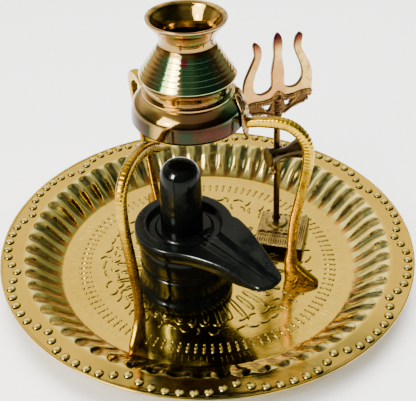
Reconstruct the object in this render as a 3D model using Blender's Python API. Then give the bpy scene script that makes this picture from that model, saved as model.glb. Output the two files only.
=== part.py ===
# Puja set for a small lingam: embossed tray, stone lingam, tripod stand with water pot,
# trident with hourglass drum on its own footing slab
import math

import bpy
import bmesh
from mathutils import Matrix, Vector

for old in list(bpy.data.objects):
    bpy.data.objects.remove(old, do_unlink=True)

# driving dimensions, metres
PLATE_R = 0.140          # outer radius of the tray; outlines below are in fractions of it
SHEET = 0.0012           # tray sheet thickness
GAP = 0.0003             # clearance between pieces that rest on or touch each other
FLUTES = 60              # gouged flutes round the tray wall
FLUTE_DEPTH = 0.0013
BOSSES = 104             # raised dots on the rim
SCALLOP = 8              # rim dots in each wave of the rim row
BOSS_R = 0.0027
BOSS_H = 0.0015
POT_WALL = 0.0012
POT_LIP = 0.0029
TRIDENT_PLATE = 0.0028   # thickness of the trident's flat head
SHAFT_R = 0.0022
SLAB_L = 0.0345          # footing slab, along its front
SLAB_D = 0.0380          # footing slab, front to back
SLAB_H = 0.0077
DISC_H = 0.0014          # low round boss on the slab, under the shaft
CORD_R = 0.0006
LEG_WIDTH = 0.0054       # leg, across its bend
FLOOR = SHEET            # height of the tray floor's upper face
STAND = FLOOR + GAP      # underside of everything that stands on the tray

# plan positions of the pieces on the tray, fractions of PLATE_R
POT_AXIS = (-0.071, -0.005)
LINGAM_AXIS = (-0.103, -0.186)
SHAFT_FOOT = (0.361, 0.218)
SLAB_TURN = -14.0        # degrees, slab's front edge from the X axis
HEAD_TURN = 24.0         # degrees, trident head from the X axis
TRIDENT_LEAN = 2.1       # degrees, shaft leans in the plane of the head

part_col = bpy.data.collections.new("puja_set")
bpy.context.scene.collection.children.link(part_col)
cut_col = bpy.data.collections.new("cutters")
bpy.context.scene.collection.children.link(cut_col)


def material(name, color, metallic, roughness):
    mat = bpy.data.materials.new(name)
    mat.use_nodes = True
    node = mat.node_tree.nodes["Principled BSDF"]
    node.inputs["Base Color"].default_value = (*color, 1.0)
    node.inputs["Metallic"].default_value = metallic
    node.inputs["Roughness"].default_value = roughness
    return mat


def finish(bm, name, mat=None, smooth=True, cutter=False):
    bmesh.ops.recalc_face_normals(bm, faces=bm.faces)
    mesh = bpy.data.meshes.new(name)
    bm.to_mesh(mesh)
    bm.free()
    if smooth:
        mesh.polygons.foreach_set("use_smooth", [True] * len(mesh.polygons))
        mesh.set_sharp_from_angle(angle=math.radians(35))
    obj = bpy.data.objects.new(name, mesh)
    if cutter:
        cut_col.objects.link(obj)
        obj.hide_render = True
        obj.display_type = "WIRE"
    else:
        part_col.objects.link(obj)
        mesh.materials.append(mat)
    return obj


def boolean(obj, other, operation):
    mod = obj.modifiers.new("bool", "BOOLEAN")
    mod.operation = operation
    mod.solver = "EXACT"
    mod.object = other
    graph = bpy.context.evaluated_depsgraph_get()
    done = bpy.data.meshes.new_from_object(obj.evaluated_get(graph))
    obj.modifiers.remove(mod)
    old = obj.data
    obj.data = done
    done.name = old.name
    bpy.data.meshes.remove(old)
    mats = [m for m in obj.data.materials if m is not None][:1]
    obj.data.materials.clear()
    for m in mats:
        obj.data.materials.append(m)
    obj.data.polygons.foreach_set("material_index", [0] * len(obj.data.polygons))
    tidy_mesh(obj.data)


def tidy_mesh(mesh):
    bm = bmesh.new()
    bm.from_mesh(mesh)
    bmesh.ops.remove_doubles(bm, verts=bm.verts, dist=0.00002)
    bmesh.ops.dissolve_degenerate(bm, dist=0.00001, edges=bm.edges)
    bmesh.ops.triangulate(bm, faces=[f for f in bm.faces if len(f.verts) > 4])
    bm.to_mesh(mesh)
    bm.free()


def lathe(profile, steps, centre=(0.0, 0.0), scale=PLATE_R, lift=0.0):
    # profile (radius, height), outer side first from the top down; points on the axis are welded
    bm = bmesh.new()
    pts = [bm.verts.new((r * scale, 0.0, z * scale + lift)) for r, z in profile]
    edges = [bm.edges.new((a, b)) for a, b in zip(pts[:-1], pts[1:])]
    if profile[0][0] > 0.0:
        edges.append(bm.edges.new((pts[-1], pts[0])))
    bmesh.ops.spin(bm, geom=pts + edges, cent=(0, 0, 0), axis=(0, 0, 1), angle=math.tau,
                   steps=steps, use_duplicate=False)
    bmesh.ops.remove_doubles(bm, verts=bm.verts, dist=0.00002)
    bmesh.ops.translate(bm, verts=bm.verts, vec=(centre[0] * PLATE_R, centre[1] * PLATE_R, 0))
    return bm


def prism(outline, z0, z1, chamfer=0.0):
    # outline in metres, run anticlockwise; the top edge is bevelled when chamfer is given
    bm = bmesh.new()
    verts = [bm.verts.new((x, y, z0)) for x, y in outline]
    face = bm.faces.new(verts)
    new = bmesh.ops.extrude_face_region(bm, geom=[face])["geom"]
    top = [v for v in new if isinstance(v, bmesh.types.BMVert)]
    bmesh.ops.translate(bm, verts=top, vec=(0, 0, z1 - z0))
    bmesh.ops.recalc_face_normals(bm, faces=bm.faces)
    if chamfer > 0.0:
        rim = [e for e in bm.edges if all(abs(v.co.z - z1) < 1e-7 for v in e.verts)]
        bmesh.ops.bevel(bm, geom=rim, offset=chamfer, segments=1, affect="EDGES")
    return bm


def loft(rings):
    # closed rings of equal count, capped at both ends
    bm = bmesh.new()
    rows = [[bm.verts.new(p) for p in ring] for ring in rings]
    count = len(rows[0])
    for a, b in zip(rows[:-1], rows[1:]):
        for i in range(count):
            j = (i + 1) % count
            bm.faces.new((a[i], a[j], b[j], b[i]))
    bm.faces.new(rows[0])
    bm.faces.new(list(reversed(rows[-1])))
    return bm


brass_plate = material("tray_brass", (0.74, 0.60, 0.33), 1.0, 0.30)
stone = material("lingam_stone", (0.02, 0.02, 0.022), 0.0, 0.15)
brass_stand = material("stand_brass", (0.80, 0.52, 0.14), 1.0, 0.28)
brass_pot = material("pot_brass", (0.72, 0.55, 0.27), 1.0, 0.16)
brass_trident = material("trident_brass", (0.62, 0.45, 0.24), 1.0, 0.35)
brass_drum = material("drum_brass", (0.28, 0.20, 0.12), 1.0, 0.40)
brass_slab = material("slab_brass", (0.60, 0.47, 0.25), 1.0, 0.38)

# Tray: revolved sheet with a fluted wall and a rolled edge
WALL = [(0.718, 0.000), (0.760, 0.034), (0.822, 0.093), (0.878, 0.1215)]
EDGE = [(0.984, 0.1285), (0.994, 0.1330), (1.000, 0.1260), (0.990, 0.1190)]
sheet = SHEET / PLATE_R
UNDER = [(0.881, 0.1215 - sheet), (0.828, 0.093 - sheet), (0.766, 0.034 - sheet), (0.722, -sheet)]
profile = [(0.0, 0.0)] + WALL + EDGE + UNDER + [(0.0, -sheet)]
bm = lathe(profile, FLUTES * 2, lift=FLOOR)
for v in bm.verts:
    r = math.hypot(v.co.x, v.co.y) / PLATE_R
    step = round(math.degrees(math.atan2(v.co.y, v.co.x)) / (180.0 / FLUTES))
    if step % 2 and 0.74 < r < 0.87:
        v.co.z -= FLUTE_DEPTH
plate = finish(bm, "plate", brass_plate)


def boss_radius(index):
    k = abs((index + SCALLOP // 2) % SCALLOP - SCALLOP // 2)
    return {0: 0.922, 1: 0.944, 2: 0.962}.get(k, 0.968)


bm = bmesh.new()
for i in range(BOSSES):
    az = math.tau * i / BOSSES
    r = boss_radius(i)
    top = FLOOR + PLATE_R * (0.1243 + (r - 0.93) * 0.05)
    spot = Matrix.Translation((r * PLATE_R * math.cos(az), r * PLATE_R * math.sin(az), top + BOSS_H / 2 - 0.0003))
    bmesh.ops.create_cone(bm, cap_ends=True, segments=5, radius1=BOSS_R, radius2=0.0,
                          depth=BOSS_H + 0.0006, matrix=spot @ Matrix.Rotation(az, 4, "Z"))
bosses = finish(bm, "boss_row", cutter=True)
boolean(plate, bosses, "UNION")
plate.data.polygons.foreach_set("use_smooth", [False] * len(plate.data.polygons))

# Lingam: turned pedestal, spouted basin top and round-headed shaft, one stone
PEDESTAL = [(0.0, 0.335), (0.200, 0.335), (0.198, 0.300), (0.207, 0.282), (0.210, 0.245), (0.209, 0.205),
            (0.204, 0.192), (0.209, 0.178), (0.204, 0.088), (0.219, 0.050), (0.224, 0.030), (0.224, 0.0),
            (0.0, 0.0)]
lingam = finish(lathe(PEDESTAL, 26, LINGAM_AXIS, lift=STAND), "shivling", stone)
SPOUT_TURN = -47.5       # degrees, spout's direction
ROUND_R = 0.226
SPOUT = [(0.150, -0.172), (0.200, -0.141), (0.300, -0.103), (0.400, -0.084), (0.520, -0.081), (0.556, -0.064),
         (0.572, -0.025), (0.572, 0.020), (0.556, 0.055), (0.527, 0.073), (0.451, 0.102), (0.360, 0.138),
         (0.265, 0.176), (0.200, 0.192), (0.146, 0.205), (0.122, 0.196)]


def yoni_outline(inset=0.0):
    pts = list(SPOUT)
    start = math.atan2(0.196, 0.122)
    end = math.tau + math.atan2(-0.172, 0.150)
    for i in range(1, 16):
        a = start + (end - start) * i / 16
        pts.append((ROUND_R * math.cos(a), ROUND_R * math.sin(a)))
    turn = math.radians(SPOUT_TURN)
    c, s = math.cos(turn), math.sin(turn)
    out = []
    n = len(pts)
    for i, (u, v) in enumerate(pts):
        if inset > 0.0:
            (ua, va), (ub, vb) = pts[i - 1], pts[(i + 1) % n]
            du, dv = ub - ua, vb - va
            size = math.hypot(du, dv)
            u, v = u - dv / size * inset, v + du / size * inset
        x = LINGAM_AXIS[0] + u * c - v * s
        y = LINGAM_AXIS[1] + u * s + v * c
        out.append((x * PLATE_R, y * PLATE_R))
    return out


def stone_z(z):
    return STAND + z * PLATE_R


slab_rings = []
for inset, z in ((0.016, 0.306), (0.004, 0.318), (0.0, 0.330), (0.0, 0.371), (0.006, 0.380)):
    slab_rings.append([(x, y, stone_z(z)) for x, y in yoni_outline(inset)])
yoni = finish(loft(slab_rings), "yoni_add", cutter=True)
UNDERCUT = [(0.360, 0.280), (0.390, 0.3040), (0.500, 0.3430), (0.575, 0.3600), (0.620, 0.3640), (0.620, 0.280)]
bm = prism([(u * PLATE_R, z * PLATE_R + STAND) for u, z in UNDERCUT], -0.16 * PLATE_R, 0.16 * PLATE_R)
stand_up = Matrix.Rotation(math.radians(90), 4, "X")
spout_place = (Matrix.Translation((LINGAM_AXIS[0] * PLATE_R, LINGAM_AXIS[1] * PLATE_R, 0))
               @ Matrix.Rotation(math.radians(SPOUT_TURN), 4, "Z"))
bmesh.ops.transform(bm, matrix=spout_place @ stand_up, verts=bm.verts)
undercut = finish(bm, "undercut", cutter=True)
boolean(yoni, undercut, "DIFFERENCE")
boolean(lingam, yoni, "UNION")
BASIN = [(0.0, 0.42), (0.172, 0.42), (0.172, 0.372), (0.160, 0.352), (0.132, 0.352), (0.126, 0.364),
         (0.0, 0.364)]
basin = finish(lathe(BASIN, 24, LINGAM_AXIS, lift=STAND), "basin_cut", cutter=True)
boolean(lingam, basin, "DIFFERENCE")
CHANNEL = [(0.150, -0.055), (0.300, -0.042), (0.500, -0.034), (0.600, -0.034), (0.600, 0.034), (0.500, 0.034),
           (0.300, 0.052), (0.150, 0.075)]
bm = prism([(u * PLATE_R, v * PLATE_R) for u, v in CHANNEL], stone_z(0.354), stone_z(0.43))
bmesh.ops.transform(bm, matrix=spout_place, verts=bm.verts)
channel = finish(bm, "channel_cut", cutter=True)
boolean(lingam, channel, "DIFFERENCE")
HEAD = [(0.0, 0.7090), (0.032, 0.7060), (0.056, 0.6970), (0.073, 0.6830), (0.084, 0.6640), (0.0895, 0.6400),
        (0.0920, 0.6000), (0.0945, 0.5000), (0.0960, 0.4200), (0.0970, 0.3450), (0.0, 0.3450)]
head_axis = (LINGAM_AXIS[0] - 0.010, LINGAM_AXIS[1])
head = finish(lathe(HEAD, 20, head_axis, lift=STAND), "head_add", cutter=True)
boolean(lingam, head, "UNION")

# Legs: each a bent bar with a hoof on the tray; two end in a leaf-shaped hood on the pot's belly
LEG_PATH = [(0.262, 0.838), (0.312, 0.853), (0.352, 0.858), (0.391, 0.862), (0.429, 0.860), (0.461, 0.851),
            (0.491, 0.832), (0.518, 0.802), (0.534, 0.768), (0.541, 0.725), (0.540, 0.660), (0.529, 0.570),
            (0.514, 0.470), (0.498, 0.360), (0.493, 0.260), (0.493, 0.170)]
LEG_HOOF = [(0.463, 0.526, 0.115), (0.463, 0.556, 0.078), (0.463, 0.596, 0.048), (0.466, 0.630, 0.022), (0.468, 0.634, 0.0)]
LONG_PATH = [(-0.010, 0.803), (0.026, 0.824), (0.073, 0.855), (0.145, 0.883), (0.215, 0.896), (0.265, 0.897), (0.305, 0.888),
             (0.339, 0.870), (0.367, 0.842), (0.381, 0.805), (0.385, 0.755), (0.380, 0.680), (0.365, 0.580),
             (0.343, 0.470), (0.321, 0.350), (0.305, 0.250), (0.303, 0.170)]
LONG_HOOF = [(0.270, 0.336, 0.115), (0.268, 0.360, 0.078), (0.268, 0.390, 0.048), (0.270, 0.414, 0.022),
             (0.272, 0.418, 0.0)]


def bar_section(a, b):
    return [(a, -0.55 * b), (a, 0.55 * b), (0.55 * a, b), (-0.55 * a, b), (-a, 0.55 * b), (-a, -0.55 * b),
            (-0.55 * a, -b), (0.55 * a, -b)]


def leg_mesh(path, hoof, start, az, lean=0.0):
    # path in the leg's own plane: distance from start along az, and height; lean moves it sideways as it drops
    ca, sa = math.cos(math.radians(az)), math.sin(math.radians(az))
    half_w = LEG_WIDTH / PLATE_R / 2

    def world(rho, across, z):
        across += lean * max(0.0, 0.85 - z)
        x = start[0] + rho * ca - across * sa
        y = start[1] + rho * sa + across * ca
        return (x * PLATE_R, y * PLATE_R, STAND + z * PLATE_R)

    rings = []
    n = len(path)
    for i, (rho, z) in enumerate(path):
        r0, z0 = path[max(0, i - 1)]
        r1, z1 = path[min(n - 1, i + 1)]
        size = math.hypot(r1 - r0, z1 - z0)
        nr, nz = -(z1 - z0) / size, (r1 - r0) / size
        deep = 0.0265 - 0.0045 * min(1.0, max(0.0, (i - 7) / 8))
        if i < 3:
            deep = 0.020 + 0.0022 * i
        if i == 0:
            nr, nz = 0.0, 1.0
        ring = []
        for a, b in bar_section(deep, half_w * (1.12 if i < 8 else 1.0)):
            ring.append(world(rho + nr * a, b, z + nz * a))
        rings.append(ring)
    for r0, r1, z in hoof:
        mid, half = (r0 + r1) / 2, (r1 - r0) / 2
        rings.append([world(mid + a, b, z) for a, b in bar_section(half, half_w * 1.1)])
    return loft(rings)


# hood rows: height, half width, distance of its back from the pot's axis
HOOD = [(0.968, 0.008, 0.2090), (0.945, 0.026, 0.2260), (0.918, 0.040, 0.2470), (0.880, 0.048, 0.2555),
        (0.845, 0.047, 0.2580), (0.815, 0.038, 0.2580), (0.790, 0.022, 0.2575), (0.768, 0.005, 0.2570)]


def hood_mesh(az):
    rows = []
    for z, half, base in HOOD:
        row = []
        for u, thick in ((-1.0, 0.0), (-1.0, 0.007), (-0.35, 0.011), (0.35, 0.011), (1.0, 0.007), (1.0, 0.0),
                         (0.0, 0.0)):
            ang = math.radians(az) + u * half / 0.25
            r = base + thick
            row.append(((POT_AXIS[0] + r * math.cos(ang)) * PLATE_R, (POT_AXIS[1] + r * math.sin(ang)) * PLATE_R,
                        STAND + z * PLATE_R))
        rows.append(row)
    return loft(rows)


def on_pot(radius, az):
    # plan point at a distance from the pot's axis
    return (POT_AXIS[0] + radius * math.cos(math.radians(az)), POT_AXIS[1] + radius * math.sin(math.radians(az)))


def add_hood(leg, az):
    hood = finish(hood_mesh(az), leg.name + "_hood", cutter=True)
    boolean(leg, hood, "UNION")


BEND = [(r - 0.257, z) for r, z in LEG_PATH]
FOOT = [(r0 - 0.257, r1 - 0.257, z) for r0, r1, z in LEG_HOOF]
leg_right = finish(leg_mesh(LEG_PATH, LEG_HOOF, POT_AXIS, -18.0), "leg_right", brass_stand)
add_hood(leg_right, -18.0)
back_path = [(r * 0.93, z) for r, z in BEND]
back_foot = [(r0 * 0.93, r1 * 0.93, z) for r0, r1, z in FOOT]
leg_back = finish(leg_mesh(back_path, back_foot, on_pot(0.257, 135.0), 114.0, lean=-0.106), "leg_back", brass_stand)
add_hood(leg_back, 135.0)
leg_front = finish(leg_mesh(LONG_PATH, LONG_HOOF, on_pot(0.257, -121.0), -109.0), "leg_front_left", brass_stand)

# Water pot: one spun vessel with a flared mouth, coned shoulder, waist and belly
POT_OUT = [(0.170, 1.297), (0.168, 1.285), (0.140, 1.252), (0.121, 1.218), (0.117, 1.190), (0.125, 1.174),
           (0.1414, 1.149), (0.2085, 1.048), (0.210, 1.042), (0.207, 1.028), (0.189, 0.982), (0.188, 0.972),
           (0.199, 0.966), (0.199, 0.956), (0.216, 0.945), (0.239, 0.921), (0.251, 0.880), (0.254, 0.848),
           (0.248, 0.831), (0.225, 0.820), (0.150, 0.815), (0.0, 0.814)]
POT_SKIN = [(0.170, 1.297), (0.141, 1.252), (0.119, 1.205), (0.1414, 1.149), (0.209, 1.045), (0.189, 0.984),
            (0.189, 0.960), (0.216, 0.944), (0.239, 0.921), (0.251, 0.880), (0.253, 0.847),
            (0.225, 0.820), (0.150, 0.815), (0.0, 0.814)]


def inner_skin(points, wall):
    # the inside of a wall whose outer side runs from the top down to the axis, given from the axis up
    out = []
    n = len(points)
    for i, (r, z) in enumerate(points):
        r0, z0 = points[max(0, i - 1)]
        r1, z1 = points[min(n - 1, i + 1)]
        size = math.hypot(r1 - r0, z1 - z0)
        out.append((r + (z1 - z0) / size * wall, z - (r1 - r0) / size * wall))
    out[0] = (points[0][0] - wall, points[0][1])
    out[-1] = (0.0, points[-1][1] + wall)
    return list(reversed(out))


POT_IN = inner_skin(POT_SKIN, POT_WALL / PLATE_R)
POT_IN.insert(-1, (POT_OUT[0][0] - POT_LIP / PLATE_R, POT_OUT[0][1] - 0.007))
pot_profile = POT_OUT + POT_IN
bm = bmesh.new()
pts = [bm.verts.new((r * PLATE_R, 0.0, z * PLATE_R + STAND)) for r, z in pot_profile]
edges = [bm.edges.new((a, b)) for a, b in zip(pts[:-1], pts[1:]) if not (a.co.x == 0.0 and b.co.x == 0.0)]
edges.append(bm.edges.new((pts[-1], pts[0])))
bmesh.ops.spin(bm, geom=pts + edges, cent=(0, 0, 0), axis=(0, 0, 1), angle=math.tau, steps=24,
               use_duplicate=False)
bmesh.ops.remove_doubles(bm, verts=bm.verts, dist=0.00002)
bmesh.ops.translate(bm, verts=bm.verts, vec=(POT_AXIS[0] * PLATE_R, POT_AXIS[1] * PLATE_R, 0))
finish(bm, "kalash", brass_pot)

# Trident: flat pierced head, round shaft and nut, set upright in the slab
foot = Vector((SHAFT_FOOT[0] * PLATE_R, SHAFT_FOOT[1] * PLATE_R, STAND))
upright = (Matrix.Translation(foot) @ Matrix.Rotation(math.radians(HEAD_TURN), 4, "Z")
           @ Matrix.Rotation(math.radians(-TRIDENT_LEAN), 4, "Y"))
HALF_HEAD = [(0.006, 1.121), (0.018, 1.096), (0.0215, 1.060), (0.019, 1.015), (0.025, 0.975), (0.0315, 0.930),
             (0.0315, 0.872), (0.040, 0.853), (0.061, 0.841), (0.087, 0.839), (0.110, 0.850), (0.1245, 0.875),
             (0.1255, 0.905), (0.118, 0.938), (0.105, 0.972), (0.091, 1.005), (0.083, 1.035), (0.084, 1.060),
             (0.092, 1.085), (0.114, 1.100), (0.124, 1.086), (0.119, 1.058), (0.1175, 1.034), (0.130, 1.004),
             (0.150, 0.966), (0.169, 0.925), (0.1775, 0.880), (0.179, 0.835), (0.176, 0.798), (0.158, 0.790),
             (0.156, 0.760), (0.128, 0.738), (0.060, 0.722), (0.034, 0.700)]
outline = [(h, w) for h, w in HALF_HEAD] + [(-h, w) for h, w in reversed(HALF_HEAD)]
bm = bmesh.new()
half_t = TRIDENT_PLATE / 2
verts = [bm.verts.new((h * PLATE_R, -half_t, w * PLATE_R)) for h, w in outline]
face = bm.faces.new(verts)
new = bmesh.ops.extrude_face_region(bm, geom=[face])["geom"]
bmesh.ops.translate(bm, verts=[v for v in new if isinstance(v, bmesh.types.BMVert)], vec=(0, 2 * half_t, 0))
bmesh.ops.transform(bm, matrix=upright, verts=bm.verts)
trident = finish(bm, "trident", brass_trident, smooth=False)
bm = bmesh.new()
for side in (-1, 1):
    hole = [(side * h * PLATE_R, w * PLATE_R) for h, w in ((0.034, 0.781), (0.084, 0.779), (0.070, 0.752), (0.048, 0.742))]
    low = [bm.verts.new((h, -0.004, w)) for h, w in hole]
    high = [bm.verts.new((h, 0.004, w)) for h, w in hole]
    bm.faces.new(low)
    bm.faces.new(list(reversed(high)))
    for i in range(4):
        j = (i + 1) % 4
        bm.faces.new((low[i], low[j], high[j], high[i]))
bmesh.ops.transform(bm, matrix=upright, verts=bm.verts)
holes = finish(bm, "head_holes", cutter=True)
boolean(trident, holes, "DIFFERENCE")
slab_top = SLAB_H / PLATE_R
rod = SHAFT_R / PLATE_R
rod_foot = slab_top + DISC_H / PLATE_R + 0.003
SOCKET = [(0.0, 0.812), (0.020, 0.806), (0.024, 0.780), (0.024, 0.702), (rod, 0.694), (rod, 0.106),
          (0.0225, 0.099), (0.0225, 0.081), (rod, 0.077), (rod, rod_foot), (0.0, rod_foot)]
bm = lathe(SOCKET, 8)
bmesh.ops.transform(bm, matrix=upright, verts=bm.verts)
shaft = finish(bm, "shaft_add", cutter=True)
boolean(trident, shaft, "UNION")

# Hourglass drum tied in front of the shaft, with its cord and knotted ball
DRUM_HALF = [(0.0, 0.088), (0.046, 0.088), (0.049, 0.080), (0.043, 0.062), (0.030, 0.030), (0.027, 0.0)]
drum_profile = DRUM_HALF + [(r, -z) for r, z in reversed(DRUM_HALF[:-1])]
bm = lathe(drum_profile, 12)
lie = Matrix.Rotation(math.radians(90), 4, "Y")
spot = Matrix.Translation((0.012 * PLATE_R, -(SHAFT_R + 0.029 * PLATE_R + GAP), 0.512 * PLATE_R))
bmesh.ops.transform(bm, matrix=upright @ spot @ lie, verts=bm.verts)
drum = finish(bm, "damaru", brass_drum)
loop_r = SHAFT_R + GAP + CORD_R
bm = bmesh.new()
rows = []
for i in range(10):
    a = math.tau * i / 10
    c, s = math.cos(a), math.sin(a)
    ring = []
    for k in range(5):
        b = math.tau * k / 5
        r = loop_r + CORD_R * math.cos(b)
        ring.append(bm.verts.new((r * c, r * s, 0.512 * PLATE_R + CORD_R * math.sin(b))))
    rows.append(ring)
for i in range(10):
    for k in range(5):
        a, b = rows[i], rows[(i + 1) % 10]
        bm.faces.new((a[k], b[k], b[(k + 1) % 5], a[(k + 1) % 5]))
bmesh.ops.transform(bm, matrix=upright, verts=bm.verts)
cord = finish(bm, "cord_add", cutter=True)
boolean(drum, cord, "UNION")

# Footing slab with a low round boss under the shaft
turn = math.radians(SLAB_TURN)
front_right = Vector((0.471, -0.004))
along = Vector((math.cos(turn), math.sin(turn)))
back = Vector((-math.sin(turn), math.cos(turn)))
corner = front_right * PLATE_R - along * SLAB_L
quad = [corner, corner + along * SLAB_L, corner + along * SLAB_L + back * SLAB_D, corner + back * SLAB_D]
bm = prism([(p.x, p.y) for p in quad], STAND, STAND + SLAB_H, chamfer=0.0006)
slab = finish(bm, "trident_plinth", brass_slab, smooth=False)
bm = bmesh.new()
dome = Matrix.Translation((foot.x, foot.y, STAND + SLAB_H + DISC_H / 2 - 0.0003))
bmesh.ops.create_cone(bm, cap_ends=True, segments=20, radius1=0.0088, radius2=0.0066, depth=DISC_H + 0.0006,
                      matrix=dome)
disc = finish(bm, "disc_add", cutter=True)
boolean(slab, disc, "UNION")

for obj in part_col.objects:
    bm = bmesh.new()
    bm.from_mesh(obj.data)
    bmesh.ops.recalc_face_normals(bm, faces=bm.faces)
    bm.to_mesh(obj.data)
    bm.free()
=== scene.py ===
import bpy
import bmesh
import math
import random
from mathutils import Matrix, Vector

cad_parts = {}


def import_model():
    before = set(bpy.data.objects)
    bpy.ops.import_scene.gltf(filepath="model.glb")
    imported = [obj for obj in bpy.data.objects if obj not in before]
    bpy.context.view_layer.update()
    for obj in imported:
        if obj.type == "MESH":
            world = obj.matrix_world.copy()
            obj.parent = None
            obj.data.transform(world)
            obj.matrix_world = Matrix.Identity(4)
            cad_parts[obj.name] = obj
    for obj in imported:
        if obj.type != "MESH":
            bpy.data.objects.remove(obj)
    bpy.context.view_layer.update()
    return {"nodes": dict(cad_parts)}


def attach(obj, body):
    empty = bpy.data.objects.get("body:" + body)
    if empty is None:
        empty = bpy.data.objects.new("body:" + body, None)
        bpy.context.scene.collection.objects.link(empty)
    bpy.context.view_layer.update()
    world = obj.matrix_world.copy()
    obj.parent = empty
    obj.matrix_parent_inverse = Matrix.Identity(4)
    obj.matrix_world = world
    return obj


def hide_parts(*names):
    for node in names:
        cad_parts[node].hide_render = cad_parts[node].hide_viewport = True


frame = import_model()

R = 0.14                 # tray's outer radius in metres; outlines are in fractions of it
FLOOR = 0.0012           # tray floor's upper face
STAND = 0.0015           # underside of what stands on the tray
POT = (-0.071, -0.005)   # plan positions of the pieces, fractions of R
LINGAM = (-0.103, -0.186)
FOOT = (0.361, 0.218)
FLUTES = 60
RIM_DOTS = 104
SPOUT_TURN = math.radians(-47.5)
SLAB_TURN = math.radians(-14.0)
SLAB_L = 0.0345          # footing slab, along its front
SLAB_H = 0.0077
PICTURE_WIDTH = 416.0    # pixels
SENSOR = 36.0            # millimetres
rng = random.Random(7)


# Small tools
def spline(points, per):
    out = []
    n = len(points)
    for i in range(n - 1):
        p0, p1, p2, p3 = points[max(0, i - 1)], points[i], points[i + 1], points[min(n - 1, i + 2)]
        for k in range(per):
            t = k / per
            out.append(tuple(0.5 * (2 * b + (c - a) * t + (2 * a - 5 * b + 4 * c - d) * t * t
                                    + (3 * b - a - 3 * c + d) * t ** 3) for a, b, c, d in zip(p0, p1, p2, p3)))
    out.append(tuple(points[-1]))
    return out


def piece(name, verts, faces, mat, smooth=True, angle=40, node=None):
    mesh = bpy.data.meshes.new(name)
    mesh.from_pydata(verts, [], faces)
    mesh.validate()
    bm = bmesh.new()
    bm.from_mesh(mesh)
    bmesh.ops.recalc_face_normals(bm, faces=bm.faces)
    bm.to_mesh(mesh)
    bm.free()
    return dress(name, mesh, mat, smooth, angle, node)


def dress(name, mesh, mat, smooth=True, angle=40, node=None):
    mesh.materials.clear()
    mesh.materials.append(mat)
    obj = bpy.data.objects.new(name, mesh)
    bpy.context.scene.collection.objects.link(obj)
    if smooth:
        mesh.polygons.foreach_set("use_smooth", [True] * len(mesh.polygons))
        mesh.set_sharp_from_angle(angle=math.radians(angle))
    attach(obj, "root")
    if node:
        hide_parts(node)
    return obj


def grid_faces(rows, cols, base=0):
    faces = []
    for i in range(rows - 1):
        for j in range(cols):
            k = (j + 1) % cols
            faces.append((base + i * cols + j, base + i * cols + k, base + (i + 1) * cols + k,
                          base + (i + 1) * cols + j))
    return faces


def lathe(profile, steps, closed=True, centre=(0.0, 0.0), matrix=None):
    # profile in fractions of R, heights above the stand level unless a matrix places it
    bm = bmesh.new()
    lift = 0.0 if matrix else STAND
    pts = [bm.verts.new((r * R, 0.0, z * R + lift)) for r, z in profile]
    geo = [bm.edges.new((a, b)) for a, b in zip(pts[:-1], pts[1:])]
    if closed:
        geo.append(bm.edges.new((pts[-1], pts[0])))
    bmesh.ops.spin(bm, geom=pts + geo, cent=(0, 0, 0), axis=(0, 0, 1), angle=math.tau, steps=steps,
                   use_duplicate=False)
    bmesh.ops.remove_doubles(bm, verts=bm.verts, dist=0.00001)
    bmesh.ops.translate(bm, verts=bm.verts, vec=(centre[0] * R, centre[1] * R, 0))
    if matrix:
        bmesh.ops.transform(bm, matrix=matrix, verts=bm.verts)
    bmesh.ops.recalc_face_normals(bm, faces=bm.faces)
    mesh = bpy.data.meshes.new("lathe")
    bm.to_mesh(mesh)
    bm.free()
    return mesh


class Relief:
    # low ridges, dots and bars laid on a surface; place(x, y, h) gives the world point
    def __init__(self, place):
        self.v, self.f, self.place = [], [], place

    def ridge(self, pts, half, height, closed=False, sink=0.0001):
        n = len(pts)
        base = len(self.v)
        for i, (x, y) in enumerate(pts):
            a = pts[(i - 1) % n] if closed or i else pts[0]
            b = pts[(i + 1) % n] if closed or i < n - 1 else pts[-1]
            dx, dy = b[0] - a[0], b[1] - a[1]
            size = math.hypot(dx, dy) or 1.0
            nx, ny = -dy / size * half, dx / size * half
            end = 0.35 if (not closed and i in (0, n - 1)) else 1.0
            for s, h in ((-1.0, -sink), (-0.6, height * 0.75), (0.0, height), (0.6, height * 0.75), (1.0, -sink)):
                self.v.append(self.place(x + nx * s * end, y + ny * s * end, h if abs(s) == 1.0 else h * end))
        for i in range(n if closed else n - 1):
            j = (i + 1) % n
            for k in range(4):
                self.f.append((base + i * 5 + k, base + j * 5 + k, base + j * 5 + k + 1, base + i * 5 + k + 1))

    def dot(self, x, y, radius, height, steps=8, rings=3):
        base = len(self.v)
        for i in range(rings):
            a = math.pi / 2 * i / rings
            for k in range(steps):
                b = math.tau * k / steps
                self.v.append(self.place(x + radius * math.cos(a) * math.cos(b),
                                         y + radius * math.cos(a) * math.sin(b),
                                         height * math.sin(a) - (0.0001 if i == 0 else 0.0)))
        self.v.append(self.place(x, y, height))
        for i in range(rings - 1):
            for k in range(steps):
                m = (k + 1) % steps
                self.f.append((base + i * steps + k, base + i * steps + m, base + (i + 1) * steps + m,
                               base + (i + 1) * steps + k))
        top = base + rings * steps
        for k in range(steps):
            self.f.append((top - steps + k, top - steps + (k + 1) % steps, top))

    def make(self, name, mat):
        mesh = bpy.data.meshes.new(name)
        mesh.from_pydata(self.v, [], self.f)
        return dress(name, mesh, mat, angle=60)


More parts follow.
